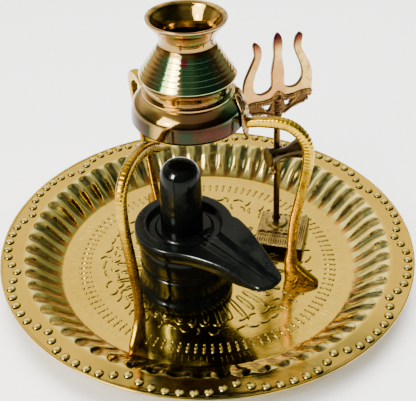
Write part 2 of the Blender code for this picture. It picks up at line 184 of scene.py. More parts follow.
def tube(points, radii, sides=10, caps=True):
    # round bar through 3-D points in metres
    verts = []
    n = len(points)
    up = Vector((0, 0, 1))
    for i, p in enumerate(points):
        t = (Vector(points[min(n - 1, i + 1)]) - Vector(points[max(0, i - 1)])).normalized()
        side = t.cross(up)
        if side.length < 0.05:
            side = t.cross(Vector((0, 1, 0)))
        side.normalize()
        other = side.cross(t)
        r = radii[i] if isinstance(radii, (list, tuple)) else radii
        for k in range(sides):
            a = math.tau * k / sides
            verts.append(tuple(Vector(p) + side * math.cos(a) * r + other * math.sin(a) * r))
    faces = grid_faces(n, sides)
    if caps:
        faces.append(tuple(range(sides)))
        faces.append(tuple(range((n - 1) * sides, n * sides)))
    return verts, faces


def join(lists):
    verts, faces = [], []
    for v, f in lists:
        base = len(verts)
        verts += v
        faces += [tuple(base + i for i in face) for face in f]
    return verts, faces


def ball(centre, size, matrix=None, steps=10, rings=6):
    verts = []
    for i in range(1, rings):
        a = math.pi * i / rings
        for k in range(steps):
            b = math.tau * k / steps
            verts.append((math.sin(a) * math.cos(b) * size[0] + centre[0],
                          math.sin(a) * math.sin(b) * size[1] + centre[1],
                          math.cos(a) * size[2] + centre[2]))
    faces = grid_faces(rings - 1, steps)
    verts += [(centre[0], centre[1], centre[2] + size[2]), (centre[0], centre[1], centre[2] - size[2])]
    top, low = len(verts) - 2, len(verts) - 1
    for k in range(steps):
        faces.append((k, (k + 1) % steps, top))
        faces.append(((rings - 2) * steps + k, (rings - 2) * steps + (k + 1) % steps, low))
    if matrix:
        verts = [tuple(matrix @ Vector(v)) for v in verts]
    return verts, faces


# Materials
def color_ramp(tree, socket, stops):
    node = tree.nodes.new("ShaderNodeValToRGB")
    while len(node.color_ramp.elements) < len(stops):
        node.color_ramp.elements.new(0.5)
    for element, (pos, color) in zip(node.color_ramp.elements, stops):
        element.position = pos
        element.color = (*color, 1.0)
    tree.links.new(socket, node.inputs["Fac"])
    return node.outputs["Color"]


class Nodes:
    def __init__(self, name):
        self.mat = bpy.data.materials.new(name)
        self.mat.use_nodes = True
        self.tree = self.mat.node_tree
        self.bsdf = self.tree.nodes["Principled BSDF"]

    def add(self, kind, **values):
        node = self.tree.nodes.new(kind)
        for key, value in values.items():
            setattr(node, key, value)
        return node

    def link(self, a, b):
        self.tree.links.new(a, b)

    def math(self, op, a, b=None):
        node = self.add("ShaderNodeMath", operation=op)
        for i, x in enumerate((a, b)):
            if x is None:
                continue
            if isinstance(x, (int, float)):
                node.inputs[i].default_value = x
            else:
                self.link(x, node.inputs[i])
        return node.outputs[0]

    def times(self, a, b):
        return self.math("MULTIPLY", a, b)

    def axes(self, kind="ShaderNodeTexCoord", socket="Object"):
        sep = self.add("ShaderNodeSeparateXYZ")
        self.link(self.add(kind).outputs[socket], sep.inputs[0])
        return sep.outputs["X"], sep.outputs["Y"], sep.outputs["Z"]

    def facing_up(self):
        return self.axes("ShaderNodeNewGeometry", "Normal")[2]

    def coords(self, scale=(1, 1, 1)):
        tex = self.add("ShaderNodeTexCoord")
        mapping = self.add("ShaderNodeMapping")
        mapping.inputs["Scale"].default_value = scale
        self.link(tex.outputs["Object"], mapping.inputs["Vector"])
        return mapping.outputs[0]

    def noise(self, scale, detail=3.0, rough=0.5, vec=None, distort=0.0):
        node = self.add("ShaderNodeTexNoise")
        node.inputs["Scale"].default_value = scale
        node.inputs["Detail"].default_value = detail
        node.inputs["Roughness"].default_value = rough
        node.inputs["Distortion"].default_value = distort
        self.link(vec if vec is not None else self.coords(), node.inputs["Vector"])
        return node.outputs["Fac"]

    def ramp(self, fac, stops):
        return color_ramp(self.tree, fac, stops)

    def mix(self, fac, a, b):
        node = self.add("ShaderNodeMix", data_type="RGBA")
        for x, socket in ((fac, node.inputs["Factor"]), (a, node.inputs["A"]), (b, node.inputs["B"])):
            if isinstance(x, (int, float)):
                socket.default_value = x
            elif isinstance(x, tuple):
                socket.default_value = (*x, 1.0)
            else:
                self.link(x, socket)
        return node.outputs["Result"]

    def span(self, value, a, b, c=0.0, d=1.0):
        node = self.add("ShaderNodeMapRange", clamp=True)
        for i, x in enumerate((a, b, c, d)):
            node.inputs[i + 1].default_value = x
        self.link(value, node.inputs[0])
        return node.outputs[0]

    def bump(self, height, strength=0.3, distance=0.0005, below=None):
        node = self.add("ShaderNodeBump")
        node.inputs["Strength"].default_value = strength
        node.inputs["Distance"].default_value = distance
        self.link(height, node.inputs["Height"])
        if below is not None:
            self.link(below, node.inputs["Normal"])
        return node.outputs["Normal"]

    def out(self, color=None, rough=None, normal=None, metallic=1.0, roughness=0.3):
        self.bsdf.inputs["Metallic"].default_value = metallic
        self.bsdf.inputs["Roughness"].default_value = roughness
        if color is not None:
            self.link(color, self.bsdf.inputs["Base Color"])
        if rough is not None:
            self.link(rough, self.bsdf.inputs["Roughness"])
        if normal is not None:
            self.link(normal, self.bsdf.inputs["Normal"])
        return self.mat


def tray_material():
    m = Nodes("tray_brass")
    x, y, _ = m.axes()
    radius = m.math("SQRT", m.math("ADD", m.times(x, x), m.times(y, y)))
    angle = m.math("ARCTAN2", y, x)
    wave = m.math("COSINE", m.times(angle, float(FLUTES)))
    gouge = m.span(wave, 0.35, -0.35)
    inside = m.span(radius, 0.101, 0.1045)
    outside = m.span(radius, 0.1243, 0.1222)
    zone = m.times(inside, outside)
    wall = m.times(zone, gouge)
    # painted reflection: the flute hollows get dark green and brown patches with cream bits, as if mirroring the
    # surroundings
    broad = m.noise(58.0, 3.0, 0.6, distort=0.5)
    painted_reflection = m.ramp(broad, [(0.38, (0.01, 0.036, 0.02)), (0.48, (0.028, 0.06, 0.022)), (0.54, (0.07, 0.03, 0.008)),
                          (0.6, (0.13, 0.1, 0.025)), (0.65, (0.46, 0.34, 0.06)), (0.73, (0.85, 0.7, 0.16))])
    small = m.noise(190.0, 2.0, 0.5, vec=m.coords((1.0, 1.0, 0.4)))
    floor_tint = m.ramp(m.noise(16.0, 3.0, 0.55), [(0.3, (0.55, 0.35, 0.03)), (0.7, (0.68, 0.455, 0.052))])
    base = m.mix(m.span(small, 0.4, 0.7, 0.0, 0.22), floor_tint, (0.8, 0.58, 0.08))
    base = m.mix(m.span(radius, 0.1243, 0.1262, 0.0, 0.6), base, (0.5, 0.31, 0.03))
    # painted highlight: the fluted wall's colour is lifted to cream
    base = m.mix(zone, base, (0.95, 0.8, 0.24))
    # painted shade: the left part of the fluted wall is dulled
    base = m.mix(m.times(zone, m.span(x, -0.04, -0.11, 0.0, 0.55)), base, (0.42, 0.36, 0.11))
    # painted reflection: at the front left the flute hollows take warmer browns and cream instead
    near_left = m.times(m.span(y, 0.015, -0.055), m.span(x, 0.01, -0.06))
    warm_painted_reflection = m.ramp(broad, [(0.4, (0.66, 0.44, 0.07)), (0.52, (0.44, 0.2, 0.025)), (0.62, (0.22, 0.1, 0.02)),
                          (0.72, (0.8, 0.6, 0.12))])
    painted_reflection = m.mix(m.times(near_left, 0.88), painted_reflection, warm_painted_reflection)
    color = m.mix(m.times(wall, m.span(small, 0.25, 0.6, 1.0, 0.8)), base, painted_reflection)
    ends = m.times(m.span(radius, 0.1085, 0.105), m.span(radius, 0.0995, 0.102))
    ends = m.times(ends, m.span(wave, 0.0, -0.8, 0.0, 0.55))
    color = m.mix(ends, color, (0.5, 0.17, 0.012))
    # painted reflection: the rim's front is darkened toward dark olive, as if mirroring the dim side in front
    front_rim_painted_reflection = m.times(m.span(radius, 0.1235, 0.1262), m.span(y, -0.07, -0.108))
    front_rim_painted_reflection = m.times(front_rim_painted_reflection, m.span(x, -0.08, -0.035))
    front_rim_painted_reflection = m.times(front_rim_painted_reflection, m.span(m.noise(34.0, 3.0, 0.6), 0.38, 0.58, 0.3, 0.88))
    color = m.mix(front_rim_painted_reflection, color, (0.075, 0.08, 0.026))
    rings = m.add("ShaderNodeTexNoise", noise_dimensions="1D")
    rings.inputs["Scale"].default_value = 900.0
    rings.inputs["Detail"].default_value = 2.0
    m.link(radius, rings.inputs["W"])
    turned = m.bump(rings.outputs["Fac"], 0.1, 0.0002)
    wavy = m.bump(m.noise(70.0, 2.0, 0.5), 0.16, 0.001, below=turned)
    rough = m.span(m.noise(60.0, 3.0, 0.6), 0.3, 0.7, 0.09, 0.17)
    return m.out(color, rough, wavy)


def brass(name, low, high, dark, roughness=(0.18, 0.34), scale=60.0, bump=0.15, grime=0.45, side_shade=None):
    # painted shade: the last argument darkens the steep sides of low relief toward a dark colour
    m = Nodes(name)
    tone = m.ramp(m.noise(scale, 4.0, 0.6), [(0.3, low), (0.7, high)])
    spots = m.span(m.noise(scale * 6.0, 3.0, 0.6), 0.52, 0.72, 0.0, grime)
    color = m.mix(spots, tone, dark)
    if side_shade:
        steep, level, share, shade_color = side_shade
        color = m.mix(m.span(m.facing_up(), level, steep, 0.0, share), color, shade_color)
    rough = m.span(m.noise(scale * 3.0, 2.0, 0.5), 0.3, 0.7, roughness[0], roughness[1])
    return m.out(color, rough, m.bump(m.noise(scale * 8.0, 3.0, 0.6), bump, 0.0004))


def pot_material():
    m = Nodes("pot_brass")
    across, deep, height = m.axes()
    x = m.math("SUBTRACT", across, POT[0] * R)
    y = m.math("SUBTRACT", deep, POT[1] * R)
    angle = m.math("ADD", m.times(m.math("ARCTAN2", y, x), 1.0 / math.tau), 0.5)
    shift = m.times(m.math("SUBTRACT", m.noise(30.0, 2.0, 0.5), 0.5), 0.05)
    turn = m.math("ADD", angle, shift)
    # painted reflections: colour ramps round the pot's axis lay dark green, teal and umber patches and cream
    # highlight streaks on the body
    green, teal, umber = (0.12, 0.38, 0.16), (0.06, 0.38, 0.24), (0.28, 0.14, 0.055)
    gold_c, painted_highlight, dusk = (0.72, 0.46, 0.1), (0.88, 0.72, 0.3), (0.44, 0.27, 0.06)
    upper_painted_reflection = m.ramp(turn, [(0.02, painted_highlight), (0.07, gold_c), (0.1, umber), (0.165, green), (0.19, gold_c), (0.205, painted_highlight),
                          (0.225, painted_highlight), (0.24, green), (0.29, (0.16, 0.42, 0.2)), (0.34, teal), (0.4, umber),
                          (0.44, painted_highlight), (0.5, gold_c), (0.56, green), (0.66, gold_c), (0.78, umber), (0.88, gold_c),
                          (0.96, green)])
    lower_painted_reflection = m.ramp(turn, [(0.02, dusk), (0.06, umber), (0.12, (0.14, 0.12, 0.04)), (0.17, (0.5, 0.3, 0.07)),
                          (0.2, dusk),
                          (0.235, (0.22, 0.11, 0.045)), (0.3, (0.2, 0.075, 0.045)), (0.34, (0.12, 0.08, 0.03)),
                          (0.38, (0.05, 0.2, 0.12)),
                          (0.43, (0.08, 0.2, 0.09)), (0.49, dusk), (0.6, umber), (0.72, dusk), (0.84, green),
                          (0.94, dusk)])
    gold = m.ramp(m.noise(45.0, 3.0, 0.5), [(0.3, (0.52, 0.32, 0.065)), (0.7, (0.72, 0.49, 0.13))])
    painted_reflection = m.mix(m.span(height, 0.1465, 0.148), lower_painted_reflection, upper_painted_reflection)
    body = m.times(m.span(height, 0.166, 0.164), 0.92)
    body = m.times(body, m.math("MAXIMUM", m.span(height, 0.148, 0.1484), m.span(height, 0.1345, 0.1325, 0.8, 1.0)))
    color = m.mix(body, gold, painted_reflection)
    color = m.mix(m.span(height, 0.1643, 0.1655, 0.0, 0.85), color, (0.23, 0.125, 0.03))
    color = m.mix(m.span(height, 0.1815, 0.1822, 0.0, 0.85), color, (0.36, 0.22, 0.09))
    # painted shade: faces turned toward the pot's axis, inside the mouth, get darker mottled brass
    flat = m.add("ShaderNodeCombineXYZ")
    m.link(x, flat.inputs[0])
    m.link(y, flat.inputs[1])
    geo = m.add("ShaderNodeNewGeometry")
    outward = m.add("ShaderNodeVectorMath", operation="DOT_PRODUCT")
    m.link(geo.outputs["Normal"], outward.inputs[0])
    m.link(flat.outputs[0], outward.inputs[1])
    inner = m.span(outward.outputs["Value"], 0.0, -0.004, 0.0, 0.85)
    inside_painted_shade = m.ramp(m.noise(52.0, 3.0, 0.6, distort=0.6), [(0.42, (0.2, 0.14, 0.03)), (0.58, (0.62, 0.4, 0.08))])
    color = m.mix(inner, color, inside_painted_shade)
    # painted shade: the lower belly is made nearly black with dark red and green mottling, less so along the painted
    # highlight streak
    highlight_strip = m.math("ABSOLUTE", m.math("SUBTRACT", angle, 0.165))
    lower_belly_shade = m.times(m.span(height, 0.1298, 0.1268, 0.0, 0.97), m.span(highlight_strip, 0.008, 0.03, 0.3, 1.0))
    mottled_shade = m.ramp(m.noise(95.0, 2.0, 0.5), [(0.4, (0.01, 0.02, 0.011)), (0.5, (0.022, 0.016, 0.008)),
                                              (0.6, (0.04, 0.014, 0.01))])
    color = m.mix(lower_belly_shade, color, mottled_shade)
    aside = m.times(m.math("SUBTRACT", angle, 0.238), 0.13)
    raised = m.math("SUBTRACT", height, 0.163)
    apart = m.math("SQRT", m.math("ADD", m.times(aside, aside), m.times(raised, raised)))
    color = m.mix(m.span(apart, 0.0027, 0.0014, 0.0, 0.95), color, (0.66, 0.05, 0.11))
    # painted shade: thin dark lines on the cone at its grooves
    waves = m.math("COSINE", m.times(m.math("SUBTRACT", height, 0.162332), math.tau / 0.0028224))
    groove_shade = m.times(m.span(waves, 0.88, 0.96), m.times(m.span(height, 0.1492, 0.1497),
                                                                  m.span(height, 0.164, 0.1635)))
    color = m.mix(m.times(groove_shade, 0.85), color, (0.012, 0.014, 0.008))
    lines = m.math("SINE", m.times(height, 2600.0))
    cone = m.times(m.span(height, 0.149, 0.15), m.span(height, 0.166, 0.164))
    fine = m.bump(m.times(lines, cone), 0.25, 0.0001)
    uneven = m.bump(m.noise(38.0, 2.0, 0.5), 0.14, 0.001, below=fine)
    rough = m.span(m.noise(80.0, 2.0, 0.5), 0.3, 0.7, 0.07, 0.15)
    return m.out(color, rough, uneven)


def stone_material():
    m = Nodes("lingam_stone")
    fine = m.noise(900.0, 2.0, 0.6)
    broad = m.noise(22.0, 4.0, 0.6, distort=0.4)
    color = m.ramp(broad, [(0.3, (0.0008, 0.001, 0.0009)), (0.75, (0.003, 0.0042, 0.0036))])
    specks = m.times(m.span(fine, 0.66, 0.74), m.span(m.noise(45.0), 0.45, 0.62))
    color = m.mix(m.times(specks, 0.35), color, (0.12, 0.125, 0.11))
    rough = m.span(m.noise(120.0, 4.0, 0.65), 0.35, 0.7, 0.07, 0.3)
    m.bsdf.inputs["Specular IOR Level"].default_value = 0.1
    m.bsdf.inputs["Specular Tint"].default_value = (0.78, 0.86, 0.72, 1.0)
    return m.out(color, rough, m.bump(m.noise(240.0, 4.0, 0.6), 0.1, 0.0004), metallic=0.0, roughness=0.15)


def tip_material():
    m = Nodes("trident_brass")
    height = m.axes()[2]
    base = m.ramp(m.noise(55.0, 4.0, 0.6), [(0.3, (0.44, 0.24, 0.05)), (0.7, (0.74, 0.49, 0.14))])
    dark = m.span(m.noise(260.0, 3.0, 0.6), 0.5, 0.7, 0.0, 0.6)
    base = m.mix(dark, base, (0.2, 0.1, 0.04))
    base = m.mix(m.span(m.noise(24.0, 2.0, 0.5), 0.46, 0.6, 0.0, 0.75), base, (0.46, 0.2, 0.05))
    # painted shade: the head's thin side faces are darkened, unlike its flat faces
    geo = m.add("ShaderNodeNewGeometry")
    facing = m.add("ShaderNodeVectorMath", operation="DOT_PRODUCT")
    facing.inputs[1].default_value = (0.407, -0.914, 0.0)
    m.link(geo.outputs["Normal"], facing.inputs[0])
    edge_shade = m.span(m.math("ABSOLUTE", facing.outputs["Value"]), 0.95, 0.6, 0.0, 0.9)
    base = m.mix(edge_shade, base, (0.075, 0.03, 0.012))
    low = m.times(m.span(height, 0.115, 0.1115, 0.0, 0.93), m.span(height, 0.099, 0.1))
    base = m.mix(low, base, (0.055, 0.022, 0.008))
    blush = m.span(height, 0.147, 0.152, 0.0, 0.9)
    color = m.mix(blush, base, (0.14, 0.03, 0.012))
    tip = m.span(height, 0.151, 0.1555)
    color = m.mix(tip, color, (0.04, 0.006, 0.007))
    shaft = m.span(height, 0.0985, 0.097)
    color = m.mix(m.times(shaft, 0.8), color, (0.075, 0.04, 0.01))
    rough = m.span(m.noise(140.0, 2.0, 0.5), 0.3, 0.7, 0.22, 0.4)
    return m.out(color, rough, m.bump(m.noise(420.0, 3.0, 0.6), 0.2, 0.0004))


tray_mat = tray_material()
# the last tuple paints shade on the rim dots' steep sides
boss_mat = brass("boss_brass", (0.62, 0.44, 0.06), (0.92, 0.76, 0.22), (0.24, 0.13, 0.03), (0.1, 0.18), 90.0, 0.1,
                 0.3,
                 (0.45, 0.9, 0.94, (0.03, 0.04, 0.018)))
# the last tuple paints shade on the ticks' steep sides
tick_mat = brass("tick_brass", (0.56, 0.38, 0.05), (0.86, 0.64, 0.13), (0.1, 0.06, 0.015), (0.1, 0.2), 120.0, 0.1,
                 0.4,
                 (0.45, 0.88, 0.9, (0.045, 0.032, 0.01)))
# the last tuple paints shade on the raised strokes' steep sides, so they read as dark lines
stroke_mat = brass("stroke_brass", (0.42, 0.28, 0.035), (0.74, 0.54, 0.09), (0.06, 0.04, 0.012), (0.12, 0.22), 150.0,
                0.2, 0.6,
                (0.55, 0.92, 0.97, (0.02, 0.016, 0.006)))
leg_mat = brass("leg_brass", (0.38, 0.2, 0.002), (0.68, 0.43, 0.006), (0.13, 0.058, 0.003), (0.2, 0.34), 70.0, 0.25,
                0.5)
# painted shade: a darker copy of the leg brass for the front-left leg
front_leg_shaded_mat = brass("front_leg_shaded_brass", (0.28, 0.145, 0.002), (0.52, 0.31, 0.005), (0.1, 0.045, 0.002),
                      (0.2, 0.34), 70.0, 0.25, 0.5)
hood_mat = brass("hood_brass", (0.16, 0.09, 0.035), (0.5, 0.32, 0.11), (0.03, 0.02, 0.01), (0.16, 0.28), 90.0, 0.3)
pot_mat = pot_material()
stone_mat = stone_material()
trident_mat = tip_material()
relief_mat = brass("carved_brass", (0.045, 0.018, 0.006), (0.38, 0.21, 0.06), (0.03, 0.014, 0.006), (0.22, 0.36),
                   200.0, 0.3, 0.7)
drum_mat = brass("drum_brass", (0.04, 0.026, 0.012), (0.1, 0.06, 0.022), (0.012, 0.008, 0.004), (0.22, 0.4), 80.0,
                 0.3)
cord_mat = brass("drum_cord", (0.22, 0.12, 0.035), (0.52, 0.34, 0.1), (0.1, 0.05, 0.02), (0.25, 0.4), 200.0, 0.4)


def slab_material():
    # painted light and shade: bright on top, darker on the upright faces
    m = Nodes("slab_brass")
    tone = m.ramp(m.noise(70.0, 4.0, 0.6), [(0.3, (0.24, 0.16, 0.035)), (0.7, (0.52, 0.37, 0.09))])
    grime = m.span(m.noise(420.0, 3.0, 0.6), 0.45, 0.65, 0.0, 0.7)
    top = m.mix(grime, tone, (0.09, 0.045, 0.012))
    side = m.ramp(m.noise(60.0, 3.0, 0.6), [(0.3, (0.012, 0.01, 0.007)), (0.7, (0.075, 0.032, 0.014))])
    color = m.mix(m.span(m.facing_up(), 0.4, 0.7), side, top)
    rough = m.span(m.noise(140.0, 2.0, 0.5), 0.3, 0.7, 0.22, 0.38)
    return m.out(color, rough, m.bump(m.noise(500.0, 3.0, 0.6), 0.3, 0.0004))


slab_mat = slab_material()

# Tray with smooth flutes
FLAT = [(0.25, 0.0), (0.45, 0.0), (0.6, 0.0), (0.685, 0.0)]
WALL = spline([(0.7, 0.0), (0.718, 0.0015), (0.735, 0.012), (0.76, 0.0335), (0.79, 0.063), (0.822, 0.0925),
               (0.845, 0.108), (0.862, 0.1165), (0.878, 0.1212), (0.89, 0.1225)], 6)
RIM = spline([(0.89, 0.1225), (0.93, 0.1243), (0.968, 0.1262), (0.982, 0.128), (0.989, 0.1312), (0.9945, 0.133),
              (0.9985, 0.131), (1.0, 0.127), (0.998, 0.1215), (0.993, 0.119), (0.987, 0.1195)], 2)[1:]
BACK = [(0.968, 0.1172), (0.93, 0.1157), (0.881, 0.1129), (0.856, 0.1043), (0.828, 0.0847), (0.798, 0.056),
        (0.768, 0.027), (0.742, 0.005), (0.722, -0.0075), (0.7, -0.0086), (0.35, -0.0086)]
STEPS = 720
FLUTE = 0.0015


def flute_depth(r, az):
    if r < 0.702 or r > 0.886:
        return 0.0
    end = min(1.0, (0.886 - r) / 0.03)
    inner = min(1.0, (r - 0.702) / 0.09)
    inner = inner * inner * (3.0 - 2.0 * inner)
    width = 0.365 * math.sqrt(max(1e-6, 1.0 - (1.0 - end) ** 2)) * (0.25 + 0.75 * inner) ** 0.8
    p = (az * FLUTES / math.tau) % 1.0 - 0.5
    s = p / width
    if abs(s) >= 1.0:
        return 0.0
    return FLUTE * (1.0 - s * s) ** 0.75 * (0.55 + 0.45 * end) * inner


rows = FLAT + WALL + RIM + BACK
verts = [(0.0, 0.0, FLOOR)]
for r, z in rows:
    for k in range(STEPS):
        az = math.tau * k / STEPS
        drop = flute_depth(r, az)
        verts.append((r * R * math.cos(az), r * R * math.sin(az), max(0.0, z * R + FLOOR - drop)))
faces = [(0, 1 + k, 1 + (k + 1) % STEPS) for k in range(STEPS)]
faces += grid_faces(len(rows), STEPS, base=1)
verts.append((0.0, 0.0, 0.0))
last = len(verts) - 1
first = 1 + (len(rows) - 1) * STEPS
faces += [(last, first + (k + 1) % STEPS, first + k) for k in range(STEPS)]
piece("tray", verts, faces, tray_mat, angle=50, node="plate")


def tray_top(r):
    if r < 0.7:
        return FLOOR
    pts = WALL + RIM
    for (r0, z0), (r1, z1) in zip(pts[:-1], pts[1:]):
        if r0 <= r <= r1:
            return FLOOR + R * (z0 + (z1 - z0) * (r - r0) / (r1 - r0))
    return FLOOR + R * 0.1262


def on_tray(x, y, h):
    return (x * R, y * R, tray_top(math.hypot(x, y)) + h)


bosses = Relief(on_tray)
for i in range(RIM_DOTS):
    k = abs((i + 4) % 8 - 4)
    r = {0: 0.922, 1: 0.944, 2: 0.962}.get(k, 0.968)
    az = math.tau * i / RIM_DOTS
    bosses.dot(r * math.cos(az), r * math.sin(az), 0.021, 0.0016, steps=14, rings=5)
bosses.make("tray_dots", boss_mat)

ticks = Relief(on_tray)
for i in range(RIM_DOTS):
    az = math.tau * (i + 0.5) / RIM_DOTS
    c, s = math.cos(az), math.sin(az)
    ticks.ridge([(r * c, r * s) for r in (0.594, 0.603, 0.614, 0.622)], 0.0082, 0.0006)
    ticks.dot(0.63 * c, 0.63 * s, 0.0085, 0.00075)
    ticks.dot(0.586 * c, 0.586 * s, 0.0072, 0.0006)
ticks.make("tray_ticks", tick_mat)

# Rows of short strokes where the worn inscription runs, with no letters in them
strokes = Relief(on_tray)
for cell in range(50):
    for row in (-0.028, 0.022):
        az = math.tau * (cell + 0.4 * rng.random() + (0.5 if row > 0 else 0.0)) / 50
        middle = 0.484 + row + 0.01 * (rng.random() - 0.5)
        way = math.pi * rng.random()
        reach = 0.021 + 0.01 * rng.random()
        bow = rng.choice((-1, 1)) * (0.004 + 0.014 * rng.random())
        path = []
        for k in range(9):
            t = -1.0 + k / 4.0
            along, off = t * reach, bow * (1.0 - t * t)
            out = middle + along * math.sin(way) + off * math.cos(way)
            side = (along * math.cos(way) - off * math.sin(way)) / 0.484
            path.append((out * math.cos(az + side), out * math.sin(az + side)))
        strokes.ridge(path, 0.0056 + 0.0012 * rng.random(), 0.00085)
strokes.make("tray_strokes", stroke_mat)

rays = Relief(on_tray)
for i in range(40):
    az = math.radians(-86) + math.tau * i / 40
    inner = 0.272
    outer = 0.412 if i % 2 else 0.385
    ca, sa = math.cos(az), math.sin(az)
    loop = []
    for k in range(20):
        t = math.tau * k / 20
        along = (inner + outer) / 2 + (outer - inner) / 2 * max(-1.0, min(1.0, 1.25 * math.cos(t)))
        wide = 0.0105 * math.sin(t) * (1.0 if abs(math.cos(t)) < 0.8 else 0.75)
        loop.append((LINGAM[0] * 0.35 + along * ca - wide * sa, LINGAM[1] * 0.35 + along * sa + wide * ca))
    rays.ridge(loop, 0.005, 0.0007, closed=True)
rays.make("tray_rays", stroke_mat)

scratches = Relief(on_tray)
for i in range(150):
    az = math.tau * (i + 0.6 * rng.random()) / 150
    r0 = 0.648 + 0.012 * rng.random()
    r1 = r0 + 0.016 + 0.02 * rng.random()
    scratches.ridge([(r0 * math.cos(az), r0 * math.sin(az)), (r1 * math.cos(az + 0.004), r1 * math.sin(az + 0.004))],
                    0.0022, 0.00018)
scratches.make("tray_tooling", tick_mat)

# Lingam
PEDESTAL = [(0.0, 0.335)] + spline([(0.196, 0.335), (0.199, 0.31), (0.205, 0.292), (0.2095, 0.275), (0.2105, 0.245),
            (0.209, 0.212)], 5) + [(0.205, 0.206), (0.2035, 0.199), (0.2035, 0.187), (0.205, 0.182)]
PEDESTAL += spline([(0.2095, 0.178), (0.2085, 0.15), (0.206, 0.12), (0.204, 0.098), (0.205, 0.078), (0.211, 0.06),
                    (0.2205, 0.046), (0.224, 0.036), (0.2245, 0.018), (0.223, 0.003), (0.22, 0.0)], 4)
PEDESTAL += [(0.0, 0.0)]
dress("lingam_pedestal", lathe(PEDESTAL, 128, False, LINGAM), stone_mat, angle=50, node="shivling")
SPOUT = [(0.142, -0.176), (0.2, -0.141), (0.3, -0.103), (0.4, -0.084), (0.5, -0.081), (0.545, -0.072),
         (0.568, -0.038), (0.573, 0.0), (0.566, 0.036), (0.543, 0.064), (0.5, 0.082), (0.451, 0.102),
         (0.36, 0.138), (0.265, 0.174), (0.2, 0.192), (0.15, 0.201), (0.118, 0.194)]


def outline(inset, per=4):
    pts = spline(SPOUT, per)
    a0 = math.atan2(0.194, 0.118)
    a1 = math.tau + math.atan2(-0.176, 0.142)
    for i in range(1, 72):
        a = a0 + (a1 - a0) * i / 72
        pts.append((0.2265 * math.cos(a), 0.2265 * math.sin(a)))
    out = []
    n = len(pts)
    for i, (u, v) in enumerate(pts):
        (ua, va), (ub, vb) = pts[i - 1], pts[(i + 1) % n]
        size = math.hypot(ub - ua, vb - va) or 1.0
        out.append((u - (vb - va) / size * inset, v + (ub - ua) / size * inset))
    return out


def stone_at(u, v, z):
    return ((LINGAM[0] + u * math.cos(SPOUT_TURN) - v * math.sin(SPOUT_TURN)) * R,
            (LINGAM[1] + u * math.sin(SPOUT_TURN) + v * math.cos(SPOUT_TURN)) * R, STAND + z * R)


def basin_depth(u, v):
    # depth below the top: a round trough round the shaft, running out along the spout
    r = math.hypot(u, v)
    ring = 0.0
    if r < 0.176:
        ring = 0.03 * min(1.0, (0.176 - r) / 0.014)
        if r < 0.134:
            ring = 0.03 - 0.012 * min(1.0, (0.134 - r) / 0.008)
    channel = 0.0
    if u > 0.1:
        low, high = -0.052 + 0.035 * (u - 0.15), 0.07 - 0.1 * (u - 0.15)
        high = max(0.036, high)
        low = min(-0.034, low)
        d = min(v - low, high - v)
        if d > 0:
            channel = 0.026 * min(1.0, d / 0.01)
    return max(ring, channel)


n_out = len(outline(0.0))
verts = []
levels = [(0.03, 0.302), (0.016, 0.306), (0.008, 0.312), (0.003, 0.32), (0.0, 0.33), (0.0, 0.35), (0.0, 0.369),
          (0.002, 0.375), (0.006, 0.3795)]
UNDER = spline([(0.36, 0.296), (0.39, 0.304), (0.44, 0.322), (0.5, 0.343), (0.55, 0.355), (0.6, 0.362)], 6)


def under(u):
    # height of the spout's underside, which rises toward the tip
    if u <= UNDER[0][0]:
        return 0.0
    for (u0, z0), (u1, z1) in zip(UNDER[:-1], UNDER[1:]):
        if u <= u1:
            return z0 + (z1 - z0) * (u - u0) / (u1 - u0)
    return UNDER[-1][1]


for inset, z in levels:
    verts += [stone_at(u, v, max(z, under(u) + (z - 0.302) * 0.25)) for u, v in outline(inset)]
rim_pts = outline(0.006)
TOPS = 44
for i in range(1, TOPS):
    t = i / TOPS
    for u, v in rim_pts:
        # shrink toward a spine that runs down the middle of the spout
        su = max(0.0, min(0.5, u * 0.92))
        sv = 0.006 if su > 0.05 else 0.0
        uu, vv = u + (su - u) * t, v + (sv - v) * t
        verts.append(stone_at(uu, vv, 0.38 - basin_depth(uu, vv)))
faces = grid_faces(len(levels) + TOPS - 1, n_out)
faces.append(tuple(range(n_out)))
piece("lingam_basin", verts, faces, stone_mat, angle=50)
HEAD = spline([(0.0, 0.7092), (0.02, 0.7082), (0.04, 0.704), (0.057, 0.6965), (0.072, 0.684), (0.083, 0.666),
               (0.0888, 0.645),
               (0.0912, 0.62), (0.0925, 0.58), (0.0945, 0.5), (0.096, 0.42), (0.097, 0.37), (0.097, 0.34)], 6)
for z, deep in ((0.52, 0.0012), (0.5, 0.0012), (0.48, 0.001)):
    HEAD = [(r - deep * math.exp(-((h - z) / 0.0022) ** 2), h) for r, h in HEAD]
dress("lingam_head", lathe(HEAD + [(0.0, 0.34)], 96, False, (LINGAM[0] - 0.01, LINGAM[1])), stone_mat,
      angle=50)

